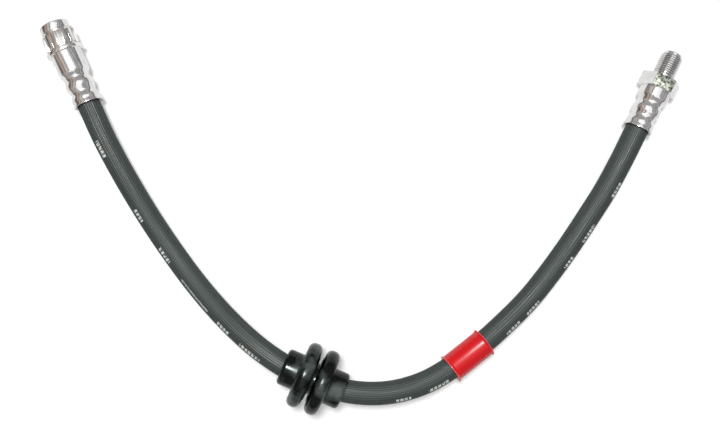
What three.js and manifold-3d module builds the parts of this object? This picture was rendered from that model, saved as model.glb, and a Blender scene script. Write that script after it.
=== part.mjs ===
// Flexible brake hose for a car, lying in a U on a bench.
// A ribbed rubber hose carries the fluid between two crimped steel end fittings:
// a female one with a splined nose that locks in a bracket, and a male one with a hexagon.
// A rubber grommet with two discs sits on the hose where it passes a slotted bracket,
// and a plastic sleeve marks the hose further on.
// Units are millimetres. +Z is up and the bench is at zero.

import * as THREE from 'three';
import { mergeVertices } from 'three/addons/utils/BufferGeometryUtils.js';
import Module from 'manifold-3d';

const wasm = await Module();
wasm.setup();

// Hose
const hoseDiameter = 10.5;
const hoseBore = 3.2;
const hoseSides = 12;
const hoseSteps = 36;
const neckStep = 0.05;
const benchGap = 0.2;

// Clearance kept between pieces that touch on the real hose
const seat = 0.3;

// Crimped socket that both fittings share, measured from its mouth
const socketDepth = 18;
const shellWall = 1.2;
const barrelWall = 1.5;
const lipWall = 0.8;
const bellFlare = 0.4;
const flareLength = 2.2;
const firstWaist = 5.9;
const waistPitch = 7;
const jawReach = 3.1;
const waistSqueeze = 2;
const bulgeSqueeze = 0.3;

// Steel insert that holds the hose open inside each crimp
const boreStretch = 0.6;
const insertWall = 0.8;
const insertReach = 1.2;
const barbHeight = 0.2;
const barbPitch = 3.5;
const collarHeight = 0.9;
const collarLength = 3.3;

// Female fitting
const femaleShellLength = 25.5;
const flangeThickness = 1.6;
const flangeRim = 0.8;
const splineStandoff = 1;
const splineLength = 6.9;
const splineTeeth = 12;
const toothHeight = 0.95;
const toothShare = 0.5;
const toothTaper = 0.72;
const clipGrooveWidth = 1.1;
const clipGrooveDepth = 0.65;
const noseLength = 3.9;
const noseDiameter = 13.5;
const portDiameter = 9;
const portDepth = 12;
const portChamfer = 0.7;

// Male fitting
const maleShellLength = 19.7;
const hexAcrossFlats = 16;
const hexThickness = 6;
const hexCornerTrim = 0.5;
const threadDiameter = 10;
const threadLength = 11.2;
const threadRelief = 1.6;
const threadDepth = 0.6;
const pilotLength = 1.7;
const pilotStep = 0.9;
const seatConeWidth = 1.7;

// Small broken edges of the turned pieces, and the larger ones at their tips
const edgeBreak = 0.3;
const tipChamfer = 0.6;

// Rubber grommet
const grommetDistance = 167;
const grommetShift = 0.8;
const discDiameter = 30.5;
const discThickness = 6.5;
const discRimRound = 2.9;
const grooveWidth = 2.1;
const coreDiameter = 15;
const lipRadius = 10.2;
const lipHeight = 0.4;
const lipWidth = 2.4;
const grommetCollarDiameter = 16.8;
const grommetCollarLength = 7.4;
const grommetCollarRound = 1.6;

// Plastic marker sleeve
const sleeveDistance = 242.6;
const sleeveLength = 20;
const sleeveWall = 0.85;
const sleeveRimFlare = 0.6;
const sleeveRimWidth = 0.2;
const sleeveFlareRise = 0.12;
const sleeveFlareLength = 1.3;

// Fineness of the round surfaces
const turnedSides = 32;
const mouldedSides = 32;
const chamferSides = 44;
const barsPerJaw = 4;
const arcDivisions = 2;
const mergeDistance = 1e-4;

// How far a cutter reaches past a face, and a pressed hose end into the hose
const overlap = 1;

// Radii that follow from the sizes above
const hoseRadius = hoseDiameter / 2;
const hoseNeck = hoseRadius * Math.cos(Math.PI / hoseSides) - neckStep;
const insertRadius = (hoseBore + boreStretch) / 2;
const fluidRadius = insertRadius - insertWall;
const stretchedBore = insertRadius + barbHeight + seat;
const secondWaist = firstWaist + waistPitch;

// Inside of the socket, and the outside that its wall gives it
const socketInside = {
  lip: hoseRadius - bulgeSqueeze / 2 + seat + shellWall + bellFlare - lipWall,
  skirt: hoseRadius - bulgeSqueeze / 2 + seat,
  waist: hoseRadius - waistSqueeze / 2 + seat,
  bulge: hoseRadius - bulgeSqueeze / 2 + seat,
  barrel: hoseRadius + seat,
};
const socketOutside = {
  lip: socketInside.lip + lipWall,
  skirt: socketInside.skirt + shellWall,
  waist: socketInside.waist + shellWall,
  bulge: socketInside.bulge + shellWall,
  barrel: socketInside.barrel + barrelWall,
};
const pressedHose = {
  lip: hoseNeck,
  skirt: hoseNeck,
  waist: socketInside.waist - seat,
  bulge: socketInside.bulge - seat,
  barrel: socketInside.barrel - seat,
};

const noseRadius = noseDiameter / 2;
const splineRadius = noseRadius + toothHeight;
const flangeRadius = Math.max(splineRadius, socketOutside.barrel) + flangeRim;
const hexCorner = hexAcrossFlats / Math.sqrt(3);
const discRadius = discDiameter / 2;
const sleeveRadius = hoseRadius + seat + sleeveWall;

// Heights of the centre line over the bench
const onBench = hoseRadius + benchGap;
const atFemale = flangeRadius;
const atMale = Math.max(hexAcrossFlats / 2, socketOutside.lip, socketOutside.barrel);
const atGrommet = discRadius;
const between = THREE.MathUtils.lerp;

// Centre line of the hose from the female mouth to the male one.
// The hose leaves each fitting level, dips to the bench and rises through the grommet.
const route = [
  [-125, 51, atFemale],
  [-118.5, 36.5, atFemale],
  [-111.5, 22.7, between(onBench, atFemale, 0.7)],
  [-103.9, 9.1, between(onBench, atFemale, 0.35)],
  [-95.8, -4.2, between(onBench, atFemale, 0.1)],
  [-87.1, -17.1, onBench],
  [-77.8, -29.6, between(onBench, atGrommet, 0.05)],
  [-67.7, -41.2, between(onBench, atGrommet, 0.26)],
  [-56.7, -51.9, between(onBench, atGrommet, 0.57)],
  [-44.8, -61.5, between(onBench, atGrommet, 0.87)],
  [-31.7, -69.8, atGrommet],
  [-17.6, -76.4, atGrommet],
  [-2.5, -80.1, atGrommet],
  [13.1, -80.1, between(onBench, atGrommet, 0.96)],
  [28.2, -76.2, between(onBench, atGrommet, 0.82)],
  [41.7, -69, between(onBench, atGrommet, 0.63)],
  [54.1, -59.9, between(onBench, atGrommet, 0.42)],
  [65.9, -49.8, between(onBench, atGrommet, 0.23)],
  [77, -39, between(onBench, atGrommet, 0.08)],
  [86.9, -27, onBench],
  [96, -14.4, onBench],
  [104.6, -1.3, between(onBench, atMale, 0.15)],
  [112.7, 12, between(onBench, atMale, 0.65)],
  [119.9, 25.7, atMale],
  [126.8, 39.7, atMale],
];
const routePoints = route.map(([x, y, z]) => new THREE.Vector3(x, y, z));
const centreLine = new THREE.CatmullRomCurve3(routePoints, false, 'catmullrom');
centreLine.arcLengthDivisions = 1200;

// Turns an outline of [along, radius] pairs about the Y axis.
function revolve(outline, sides) {
  const points = outline.map(([along, radius]) => new THREE.Vector2(radius, along));
  return new THREE.LatheGeometry(points, sides);
}

// Extrudes a flat shape upwards along Y, from one height.
function extrudeAlong(shape, from, length) {
  const geometry = new THREE.ExtrudeGeometry(shape, { depth: length, bevelEnabled: false });
  geometry.rotateX(-Math.PI / 2);
  geometry.translate(0, from, 0);
  return geometry;
}

// Sweeps a round section of the given radius along the hose, with a bore if one is asked for.
function sweepAlongHose(radius, boreRadius) {
  const section = new THREE.Shape(ring(radius, hoseSides));
  if (boreRadius) section.holes.push(new THREE.Path(ring(boreRadius, hoseSides)));
  return new THREE.ExtrudeGeometry(section, { extrudePath: centreLine, steps: hoseSteps });
}

function ring(radius, sides) {
  const corner = (i) => (i / sides) * 2 * Math.PI;
  return Array.from({ length: sides }, (_, i) => (
    new THREE.Vector2(radius * Math.cos(corner(i)), radius * Math.sin(corner(i)))
  ));
}

// Makes a closed solid of a geometry: shared corners are merged and empty triangles dropped.
function solid(geometry) {
  const bare = geometry.clone();
  bare.deleteAttribute('normal');
  bare.deleteAttribute('uv');
  const merged = mergeVertices(bare, mergeDistance);
  const corners = merged.index.array;
  const triangles = [];
  for (let i = 0; i < corners.length; i += 3) {
    const [a, b, c] = corners.subarray(i, i + 3);
    if (a !== b && b !== c && c !== a) triangles.push(a, b, c);
  }
  return new wasm.Manifold(new wasm.Mesh({
    numProp: 3,
    vertProperties: new Float32Array(merged.attributes.position.array),
    triVerts: new Uint32Array(triangles),
  }));
}

function geometryOf(body) {
  const mesh = body.getMesh();
  const geometry = new THREE.BufferGeometry();
  geometry.setAttribute('position', new THREE.BufferAttribute(mesh.vertProperties, 3));
  geometry.setIndex(new THREE.BufferAttribute(mesh.triVerts, 1));
  geometry.computeVertexNormals();
  return geometry;
}

// Radius of the crimped wall at a depth from the mouth.
// Two rounded waists press into a wall that flares at its lip and is full at the barrel.
function crimpRadius(depth, radii) {
  const flare = 1 - THREE.MathUtils.smoothstep(depth, 0, flareLength);
  const inner = depth < secondWaist ? radii.bulge : radii.barrel;
  const full = depth < firstWaist ? between(radii.skirt, radii.lip, flare) : inner;
  const away = Math.min(Math.abs(depth - firstWaist), Math.abs(depth - secondWaist));
  const grip = away < jawReach ? Math.cos((away / jawReach) * (Math.PI / 2)) ** 2 : 0;
  return between(full, radii.waist, grip);
}

// Outline of the crimp from the lip inwards, with a number of bars for each half waist.
function crimpOutline(radii, bars) {
  const depths = [];
  for (let i = 0; i < bars; i += 1) depths.push((i / bars) * flareLength);
  for (const waist of [firstWaist, secondWaist]) {
    for (let i = -bars; i <= bars; i += 1) depths.push(waist + (i / bars) * jawReach);
  }
  return depths.map((depth) => [depth, crimpRadius(depth, radii)]);
}

// The hollow inside a fitting: the socket, the insert's pocket and the drilled fluid way.
function socketCavity(fluidWayEnd) {
  const pocketRadius = insertRadius + collarHeight + seat;
  const pocketEnd = socketDepth + collarLength + seat;
  return solid(revolve([
    [-overlap, 0],
    [-overlap, socketInside.lip],
    ...crimpOutline(socketInside, barsPerJaw / 2),
    [socketDepth, socketInside.barrel],
    [socketDepth, pocketRadius],
    [pocketEnd, pocketRadius],
    [pocketEnd, fluidRadius],
    [fluidWayEnd, fluidRadius],
    [fluidWayEnd, 0],
  ], turnedSides));
}

// Hexagon with its flats facing up and down, and its corners turned off at both ends.
function hexagon(from) {
  const prism = extrudeAlong(new THREE.Shape(ring(hexCorner, 6)), from, hexThickness);
  const faceRadius = hexCorner - hexCornerTrim;
  const slope = (hexCorner - faceRadius) * Math.tan(Math.PI / 6);
  const turned = revolve([
    [from, 0],
    [from, faceRadius],
    [from + slope, hexCorner],
    [from + hexThickness - slope, hexCorner],
    [from + hexThickness, faceRadius],
    [from + hexThickness, 0],
  ], chamferSides);
  return solid(prism).intersect(solid(turned));
}

// Splined collar: square teeth that narrow towards their tops, with chamfered ends.
function splines(from) {
  const pitch = (2 * Math.PI) / splineTeeth;
  const outline = [];
  for (let tooth = 0; tooth < splineTeeth; tooth += 1) {
    const middle = tooth * pitch;
    const foot = (pitch * toothShare) / 2;
    const top = foot * toothTaper;
    const corners = [
      [noseRadius, -foot],
      [splineRadius, -top],
      [splineRadius, top],
      [noseRadius, foot],
    ];
    for (const [radius, turn] of corners) {
      const x = radius * Math.cos(middle + turn);
      const y = radius * Math.sin(middle + turn);
      outline.push(new THREE.Vector2(x, y));
    }
  }
  const teeth = extrudeAlong(new THREE.Shape(outline), from, splineLength);
  const ends = revolve([
    [from, 0],
    [from, noseRadius],
    [from + toothHeight / 2, splineRadius + edgeBreak],
    [from + splineLength - toothHeight / 2, splineRadius + edgeBreak],
    [from + splineLength, noseRadius],
    [from + splineLength, 0],
  ], turnedSides);
  return solid(teeth).intersect(solid(ends));
}

// Female fitting, from the mouth of its socket at zero to the end of its nose.
function femaleFitting() {
  const flangeEnd = femaleShellLength + flangeThickness;
  const splineStart = flangeEnd + splineStandoff;
  const grooveStart = splineStart + splineLength;
  const noseStart = grooveStart + clipGrooveWidth;
  const tip = noseStart + noseLength;
  const portRadius = portDiameter / 2;
  const outside = solid(revolve([
    [0, 0],
    ...crimpOutline(socketOutside, barsPerJaw),
    [femaleShellLength, socketOutside.barrel],
    [femaleShellLength, flangeRadius - edgeBreak],
    [femaleShellLength + edgeBreak, flangeRadius],
    [flangeEnd - edgeBreak, flangeRadius],
    [flangeEnd, flangeRadius - edgeBreak],
    [flangeEnd, noseRadius],
    [grooveStart, noseRadius],
    [grooveStart, noseRadius - clipGrooveDepth],
    [noseStart, noseRadius - clipGrooveDepth],
    [noseStart, noseRadius],
    [tip - tipChamfer, noseRadius],
    [tip, noseRadius - tipChamfer],
    [tip, 0],
  ], turnedSides));
  const port = solid(revolve([
    [tip - portDepth - portRadius / 2, 0],
    [tip - portDepth, portRadius],
    [tip - portChamfer, portRadius],
    [tip + portChamfer, portRadius + 2 * portChamfer],
    [tip + portChamfer, 0],
  ], turnedSides));
  const cavity = socketCavity(tip - portDepth);
  return outside.add(splines(splineStart)).subtract(cavity).subtract(port);
}

// Male fitting, from the mouth of its socket at zero to the tip of its thread.
function maleFitting() {
  const hexEnd = maleShellLength + hexThickness;
  const threadStart = hexEnd + threadRelief;
  const pilotStart = hexEnd + threadLength;
  const tip = pilotStart + pilotLength;
  const threadRadius = threadDiameter / 2;
  const pilotRadius = threadRadius - pilotStep;
  const outside = solid(revolve([
    [0, 0],
    ...crimpOutline(socketOutside, barsPerJaw),
    [maleShellLength + edgeBreak, socketOutside.barrel],
    [hexEnd - edgeBreak, socketOutside.barrel],
    [hexEnd - edgeBreak, threadRadius - threadDepth],
    [threadStart, threadRadius - threadDepth],
    [threadStart + threadDepth, threadRadius],
    [pilotStart - threadDepth, threadRadius],
    [pilotStart, pilotRadius],
    [tip - tipChamfer, pilotRadius],
    [tip, pilotRadius - tipChamfer],
    [tip, 0],
  ], turnedSides));
  const seatCone = solid(revolve([
    [tip - seatConeWidth, 0],
    [tip - seatConeWidth, fluidRadius],
    [tip + edgeBreak, fluidRadius + seatConeWidth],
    [tip + edgeBreak, 0],
  ], turnedSides));
  const cavity = socketCavity(tip);
  return outside.add(hexagon(maleShellLength)).subtract(cavity).subtract(seatCone);
}

// Insert: a collar that seats in the fitting's pocket, and a barbed tube inside the hose.
function insert() {
  const outline = [[insertReach, fluidRadius], [insertReach, insertRadius]];
  for (let barb = insertReach + barbPitch; barb < socketDepth - barbPitch; barb += barbPitch) {
    outline.push([barb, insertRadius], [barb, insertRadius + barbHeight]);
    outline.push([barb + barbPitch / 2, insertRadius]);
  }
  outline.push(
    [socketDepth, insertRadius],
    [socketDepth, insertRadius + collarHeight],
    [socketDepth + collarLength, insertRadius + collarHeight],
    [socketDepth + collarLength, fluidRadius],
    [insertReach, fluidRadius],
  );
  return solid(revolve(outline, turnedSides / 2));
}

// End of the hose as the crimp leaves it, reaching a little way out into the full hose.
function pressedEnd() {
  const hoseEnd = socketDepth - seat;
  return solid(revolve([
    [-overlap, stretchedBore],
    [-overlap, hoseNeck],
    ...crimpOutline(pressedHose, barsPerJaw / 2),
    [hoseEnd, pressedHose.barrel],
    [hoseEnd, stretchedBore],
    [-overlap, stretchedBore],
  ], turnedSides / 2));
}

// Grommet: two round-rimmed discs on a core, with a collar on each side.
// Lips on the inner faces of the discs pinch the bracket plate.
function grommetBody() {
  const collarRadius = grommetCollarDiameter / 2;
  const groove = grooveWidth / 2;
  const discEnd = groove + discThickness;
  const end = discEnd + grommetCollarLength;
  const rimCentre = discRadius - discRimRound;
  const half = new THREE.Path();
  half.moveTo(coreDiameter / 2, 0);
  half.lineTo(coreDiameter / 2, groove);
  half.lineTo(lipRadius - lipWidth / 2, groove);
  half.lineTo(lipRadius, groove - lipHeight);
  half.lineTo(lipRadius + lipWidth / 2, groove);
  half.absarc(rimCentre, groove + discRimRound, discRimRound, -Math.PI / 2, 0);
  half.absarc(rimCentre, discEnd - discRimRound, discRimRound, 0, Math.PI / 2);
  half.lineTo(collarRadius, discEnd);
  half.absarc(
    collarRadius - grommetCollarRound,
    end - grommetCollarRound,
    grommetCollarRound,
    0,
    Math.PI / 2,
  );
  half.lineTo(0, end);
  const upper = half.getPoints(arcDivisions).map((point) => [point.y, point.x]);
  const lower = upper.slice(1).reverse().map(([along, radius]) => [-along, radius]);
  return solid(revolve([...lower, ...upper], mouldedSides));
}

// Marker sleeve: a thin tube whose ends flare out to a sharp rim.
function sleeveBody() {
  const end = sleeveLength / 2;
  const upper = [
    [0, sleeveRadius],
    [end - sleeveFlareLength, sleeveRadius],
    [end - sleeveFlareLength / 2, sleeveRadius + sleeveFlareRise],
    [end - sleeveRimWidth, sleeveRadius + sleeveRimFlare],
    [end, sleeveRadius + sleeveRimFlare],
    [end, 0],
  ];
  const lower = upper.slice(1).reverse().map(([along, radius]) => [-along, radius]);
  return solid(revolve([...lower, ...upper], mouldedSides));
}

// Places a body whose axis is Y: its zero goes to a point and its Y axis along a direction.
function place(body, point, direction) {
  const turn = new THREE.Quaternion().setFromUnitVectors(new THREE.Vector3(0, 1, 0), direction);
  const pose = new THREE.Matrix4().compose(point, turn, new THREE.Vector3(1, 1, 1));
  return body.transform(pose.toArray());
}

// A point on the hose at a distance from its female end, and the direction of the hose there.
function onHose(distance) {
  const share = distance / centreLine.getLength();
  return { point: centreLine.getPointAt(share), direction: centreLine.getTangentAt(share) };
}

// Each fitting sits at an end of the route and points straight on from it.
const [femaleMouth, besideFemale] = routePoints;
const [besideMale, maleMouth] = routePoints.slice(-2);
const femaleHeading = new THREE.Vector3().subVectors(femaleMouth, besideFemale).normalize();
const maleHeading = new THREE.Vector3().subVectors(maleMouth, besideMale).normalize();

const hose = solid(sweepAlongHose(hoseRadius, hoseBore / 2))
  .add(place(pressedEnd(), femaleMouth, femaleHeading))
  .add(place(pressedEnd(), maleMouth, maleHeading));
const hoseWithClearance = solid(sweepAlongHose(hoseRadius + seat));

// The grommet is straight and the hose bends through it, so it sits towards the inside.
const grommetSeat = onHose(grommetDistance);
const inwards = new THREE.Vector3(0, 0, 1).cross(grommetSeat.direction).normalize();
grommetSeat.point.addScaledVector(inwards, grommetShift);
grommetSeat.direction.setZ(0).normalize();
grommetSeat.point.setZ(atGrommet);
const grommet = place(grommetBody(), grommetSeat.point, grommetSeat.direction)
  .subtract(hoseWithClearance);

const sleeveSeat = onHose(sleeveDistance);
const sleeve = place(sleeveBody(), sleeveSeat.point, sleeveSeat.direction)
  .subtract(hoseWithClearance);

// Finishes
const finishes = {
  rubber: { color: 0x4a4e4c, roughness: 0.75, metalness: 0 },
  mouldedRubber: { color: 0x141617, roughness: 0.35, metalness: 0 },
  platedSteel: { color: 0xc9c8c4, roughness: 0.22, metalness: 1 },
  insertSteel: { color: 0x9fa09d, roughness: 0.4, metalness: 1 },
  redPlastic: { color: 0xd4101c, roughness: 0.25, metalness: 0 },
};

const brakeHose = new THREE.Group();
brakeHose.name = 'brake_hose';

function addPiece(name, body, finish) {
  const piece = new THREE.Mesh(geometryOf(body), new THREE.MeshStandardMaterial(finish));
  piece.name = name;
  brakeHose.add(piece);
}

addPiece('hose', hose, finishes.rubber);
addPiece('female_fitting', place(femaleFitting(), femaleMouth, femaleHeading), finishes.platedSteel);
addPiece('male_fitting', place(maleFitting(), maleMouth, maleHeading), finishes.platedSteel);
addPiece('female_insert', place(insert(), femaleMouth, femaleHeading), finishes.insertSteel);
addPiece('male_insert', place(insert(), maleMouth, maleHeading), finishes.insertSteel);
addPiece('grommet', grommet, finishes.mouldedRubber);
addPiece('marker_sleeve', sleeve, finishes.redPlastic);

export default brakeHose;
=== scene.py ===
# %% [markdown]
# # A flexible brake hose, dressed for its photograph
# The hose is a ribbed rubber tube with a crimped steel fitting at each end. A moulded rubber
# grommet carries it through a bracket on the car, and a red plastic sleeve marks it.
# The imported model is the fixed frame: it says where every piece is. This lesson builds finer
# pieces in the same places, and gives each one a finish made only of shader nodes.

import math

import bpy
from mathutils import Matrix, Vector


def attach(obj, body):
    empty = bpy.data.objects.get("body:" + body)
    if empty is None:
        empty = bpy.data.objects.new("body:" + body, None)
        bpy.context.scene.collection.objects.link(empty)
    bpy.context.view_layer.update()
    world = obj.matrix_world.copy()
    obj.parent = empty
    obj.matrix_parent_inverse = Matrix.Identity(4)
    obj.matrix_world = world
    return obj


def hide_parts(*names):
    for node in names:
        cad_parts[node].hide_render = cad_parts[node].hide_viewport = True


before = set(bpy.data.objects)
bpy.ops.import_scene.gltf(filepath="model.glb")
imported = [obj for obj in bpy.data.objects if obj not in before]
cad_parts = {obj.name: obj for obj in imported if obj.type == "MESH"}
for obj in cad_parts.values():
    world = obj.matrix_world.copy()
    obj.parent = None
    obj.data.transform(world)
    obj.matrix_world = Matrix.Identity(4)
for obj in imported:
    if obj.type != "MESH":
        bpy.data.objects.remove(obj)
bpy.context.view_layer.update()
print("CAD nodes:", sorted(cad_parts))

# %% [markdown]
# ## The camera
# The photograph looks straight down on the bench. The camera could be turned by hand until the
# picture fits, but it is simpler to place it over the middle of the hose and to set its lens
# from the focal length in pixels. One picture from above hardly says how high the camera was,
# so the height is an estimate. Height and lens together give the scale.

# %% Camera over the bench
MM = 0.001
camera_height = 425 * MM
camera_over = (-0.5 * MM, -1.5 * MM)
focal_pixels = 907
picture_width = 720
sensor_width = 36

bpy.ops.object.camera_add(location=(*camera_over, camera_height), rotation=(0, 0, 0))
camera = bpy.context.object
camera.data.sensor_width = sensor_width
camera.data.lens = sensor_width * focal_pixels / picture_width
camera.data.clip_start = 0.01
bpy.context.scene.camera = camera
bpy.context.scene.view_settings.view_transform = "Standard"
print("lens, mm:", round(camera.data.lens, 2))

# %% [markdown]
# ## The line of the hose
# A hose is a fixed length of something springy. Its line leaves each fitting level, dips to the
# bench and rises through the middle of the grommet. The points are the ones that the CAD part
# uses, and the same Catmull-Rom curve is drawn through them, so that the two lie together.

# %% Route points, in metres
UP = Vector((0, 0, 1))
route = [Vector(point) for point in (
    (-0.1250, 0.0510, 0.008500),
    (-0.1185, 0.0365, 0.008500),
    (-0.1115, 0.0227, 0.007585),
    (-0.1039, 0.0091, 0.006518),
    (-0.0958, -0.0042, 0.005755),
    (-0.0871, -0.0171, 0.005450),
    (-0.0778, -0.0296, 0.005940),
    (-0.0677, -0.0412, 0.007998),
    (-0.0567, -0.0519, 0.011036),
    (-0.0448, -0.0615, 0.013976),
    (-0.0317, -0.0698, 0.015250),
    (-0.0176, -0.0764, 0.015250),
    (-0.0025, -0.0801, 0.015250),
    (0.0131, -0.0801, 0.014858),
    (0.0282, -0.0762, 0.013486),
    (0.0417, -0.0690, 0.011624),
    (0.0541, -0.0599, 0.009566),
    (0.0659, -0.0498, 0.007704),
    (0.0770, -0.0390, 0.006234),
    (0.0869, -0.0270, 0.005450),
    (0.0960, -0.0144, 0.005450),
    (0.1046, -0.0013, 0.005833),
    (0.1127, 0.0120, 0.007108),
    (0.1199, 0.0257, 0.008000),
    (0.1268, 0.0397, 0.008000),
)]
female_mouth = route[0]
male_mouth = route[-1]
female_heading = (route[0] - route[1]).normalized()
male_heading = (route[-1] - route[-2]).normalized()
print("route points:", len(route))

# %% A smooth curve through the route
STEPS_PER_SPAN = 40


def catmull_rom(before, start, end, after, t):
    """A point of the curve between start and end, with t from 0 to 1."""
    leave = (end - before) / 2
    arrive = (after - start) / 2
    return (
        start
        + leave * t
        + (3 * (end - start) - 2 * leave - arrive) * t**2
        + (2 * (start - end) + leave + arrive) * t**3
    )


padded = [2 * route[0] - route[1], *route, 2 * route[-1] - route[-2]]
dense = [
    catmull_rom(*padded[i : i + 4], step / STEPS_PER_SPAN)
    for i in range(len(route) - 1)
    for step in range(STEPS_PER_SPAN)
]
dense.append(route[-1])
travelled = [0.0]
for near, far in zip(dense, dense[1:]):
    travelled.append(travelled[-1] + (far - near).length)
free_length = travelled[-1]
print("length between the fittings, mm:", round(free_length / MM, 1))


# %% Points and headings at a distance along the hose
def along_hose(distance):
    """The point at a distance from the female mouth, and the heading there."""
    i = 0
    while i < len(dense) - 2 and travelled[i + 1] < distance:
        i += 1
    share = (distance - travelled[i]) / (travelled[i + 1] - travelled[i])
    return dense[i].lerp(dense[i + 1], share), (dense[i + 1] - dense[i]).normalized()


# %% [markdown]
# ## The crimped ends
# At each end the hose sits in a steel socket that a press has squeezed in two places. The wall
# of the socket and the rubber inside it follow the same curve, so one function gives the
# radius at a depth, and a set of radii says which wall is meant.

# %% Radius of a crimped wall, in millimetres
HOSE_RADIUS = 5.25
FLARE_LENGTH = 2.2
WAISTS = (5.9, 12.9)
JAW_REACH = 3.1
SOCKET_DEPTH = 18
OUTSIDE = {"lip": 7.0, "skirt": 6.6, "waist": 5.75, "bulge": 6.6, "barrel": 7.05}
INSIDE = {"lip": 6.2, "skirt": 5.4, "waist": 4.55, "bulge": 5.4, "barrel": 5.55}
PRESSED = {"lip": 5.25, "skirt": 5.1, "waist": 4.3, "bulge": 5.1, "barrel": 5.25}


def crimp_radius(depth, radii):
    share = min(max(depth / FLARE_LENGTH, 0), 1)
    flare = 1 - share * share * (3 - 2 * share)
    if depth < WAISTS[0]:
        full = radii["skirt"] + (radii["lip"] - radii["skirt"]) * flare
    else:
        full = radii["bulge"] if depth < WAISTS[1] else radii["barrel"]
    away = min(abs(depth - waist) for waist in WAISTS)
    grip = math.cos(away / JAW_REACH * math.pi / 2) ** 2 if away < JAW_REACH else 0
    return full + (radii["waist"] - full) * grip


def crimp_outline(radii, steps):
    """Pairs of depth and radius from the lip to the end of the second waist."""
    end = WAISTS[1] + JAW_REACH
    depths = [end * i / steps for i in range(steps + 1)]
    return [(depth, crimp_radius(depth, radii)) for depth in depths]


print("waist radius, mm:", crimp_radius(WAISTS[0], OUTSIDE))

# %% [markdown]
# ## The ribbed hose
# The cover has fine ribs that run its whole length. Bump alone would not show at the edge of
# the hose, so the ribs are real: every ring of the tube is a scalloped circle. A bevelled curve
# could make the tube, but it gives no hold on the ribs or on the ends, so the rings are laid
# along the line one by one and joined into one closed mesh with a bore.

# %% Rings for the hose
# Each pair is a place across one rib, as a share of its width, and a rise in millimetres.
RIBS = 33
RIB_SHAPE = ((0.0, -0.18), (0.22, -0.06), (0.5, 0.0), (0.78, -0.06))
BORE_SIDES = RIBS
BORE_RADIUS = 1.6
STRETCHED_BORE = 2.4
RING_SPACING = 1.5 * MM
END_DEPTH = 17.7
END_RINGS = 40

rings = []
for i in range(END_RINGS):
    depth = END_DEPTH * (1 - i / END_RINGS)
    centre = female_mouth + female_heading * depth * MM
    rings.append((centre, -female_heading, crimp_radius(depth, PRESSED), STRETCHED_BORE))
free_rings = round(free_length / RING_SPACING)
for i in range(free_rings + 1):
    centre, heading = along_hose(free_length * i / free_rings)
    rings.append((centre, heading, HOSE_RADIUS, BORE_RADIUS))
for i in range(END_RINGS):
    depth = END_DEPTH * (i + 1) / END_RINGS
    centre = male_mouth + male_heading * depth * MM
    rings.append((centre, male_heading, crimp_radius(depth, PRESSED), STRETCHED_BORE))
hose_path = [centre for centre, heading, outer, bore in rings]
print("rings:", len(rings))


# %% The hose as one closed mesh
def ring_point(centre, heading, turn, radius):
    """A point of a ring, with turn from 0 at the underside to 1 back there."""
    sideways = UP.cross(heading).normalized()
    upwards = heading.cross(sideways)
    angle = 2 * math.pi * turn
    return centre + (sideways * math.sin(angle) - upwards * math.cos(angle)) * radius * MM


cover_turns = [(rib + phase) / RIBS for rib in range(RIBS) for phase, rise in RIB_SHAPE]
cover_rises = [rise for rib in range(RIBS) for phase, rise in RIB_SHAPE]
COVER_SIDES = len(cover_turns)
points = []
for centre, heading, outer, bore in rings:
    for turn, rise in zip(cover_turns, cover_rises):
        points.append(ring_point(centre, heading, turn, outer + rise))
bore_start = len(points)
for centre, heading, outer, bore in rings:
    for side in range(BORE_SIDES):
        points.append(ring_point(centre, heading, side / BORE_SIDES, bore))

faces = []
last = len(rings) - 1
for ring in range(last):
    for side in range(COVER_SIDES):
        a = ring * COVER_SIDES + side
        b = ring * COVER_SIDES + (side + 1) % COVER_SIDES
        faces.append((a, b, b + COVER_SIDES, a + COVER_SIDES))
cover_faces = len(faces)
for ring in range(last):
    for side in range(BORE_SIDES):
        a = bore_start + ring * BORE_SIDES + side
        b = bore_start + ring * BORE_SIDES + (side + 1) % BORE_SIDES
        faces.append((b, a, a + BORE_SIDES, b + BORE_SIDES))
per_bore = COVER_SIDES // BORE_SIDES
for ring in (0, last):
    for side in range(BORE_SIDES):
        a = bore_start + ring * BORE_SIDES + side
        b = bore_start + ring * BORE_SIDES + (side + 1) % BORE_SIDES
        first = ring * COVER_SIDES
        rim = [first + (side * per_bore + k) % COVER_SIDES for k in range(per_bore + 1)]
        face = (b, *reversed(rim), a)
        faces.append(face if ring == last else tuple(reversed(face)))

hose_mesh = bpy.data.meshes.new("hose_cover")
hose_mesh.from_pydata(points, [], faces)
hose_cover = bpy.data.objects.new("hose_cover", hose_mesh)
bpy.context.collection.objects.link(hose_cover)
hose_mesh.shade_smooth()
print("hose faces:", len(faces))

# %% [markdown]
# The finish of the hose follows its surface: streaks run along it, and the printed marks sit on
# one side. So it gets its own map, with the distance along the hose and the turn round it.
# The seam of the map lies on the underside, where it doesn't show.

# %% A map that runs along the hose
hose_map = hose_mesh.uv_layers.new(name="hose_map")
reached = [0.0]
for near, far in zip(hose_path, hose_path[1:]):
    reached.append(reached[-1] + (far - near).length)
whole_length = reached[-1]
for face in range(cover_faces):
    ring, side = divmod(face, COVER_SIDES)
    turn = cover_turns[side]
    next_turn = cover_turns[side + 1] if side + 1 < COVER_SIDES else 1.0
    here = reached[ring] / whole_length
    there = reached[ring + 1] / whole_length
    corners = ((here, turn), (here, next_turn), (there, next_turn), (there, turn))
    for k, corner in enumerate(corners):
        hose_map.data[face * 4 + k].uv = corner
print("whole length of hose, mm:", round(whole_length / MM, 1))

# %% [markdown]
# ## Tools of the workshop
# Most other pieces are turned: an outline is spun round an axis, as on a lathe. They are made
# upright at the origin, where their sizes are easy to read, and moved to their place at the
# end. Each helper does one thing that is done by hand in Blender's edit mode.


# %% Selecting
def deselect():
    bpy.ops.object.select_all(action="DESELECT")


def pick(piece):
    """Makes a piece the only selected one, and the active one."""
    deselect()
    piece.select_set(True)
    bpy.context.view_layer.objects.active = piece


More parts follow.
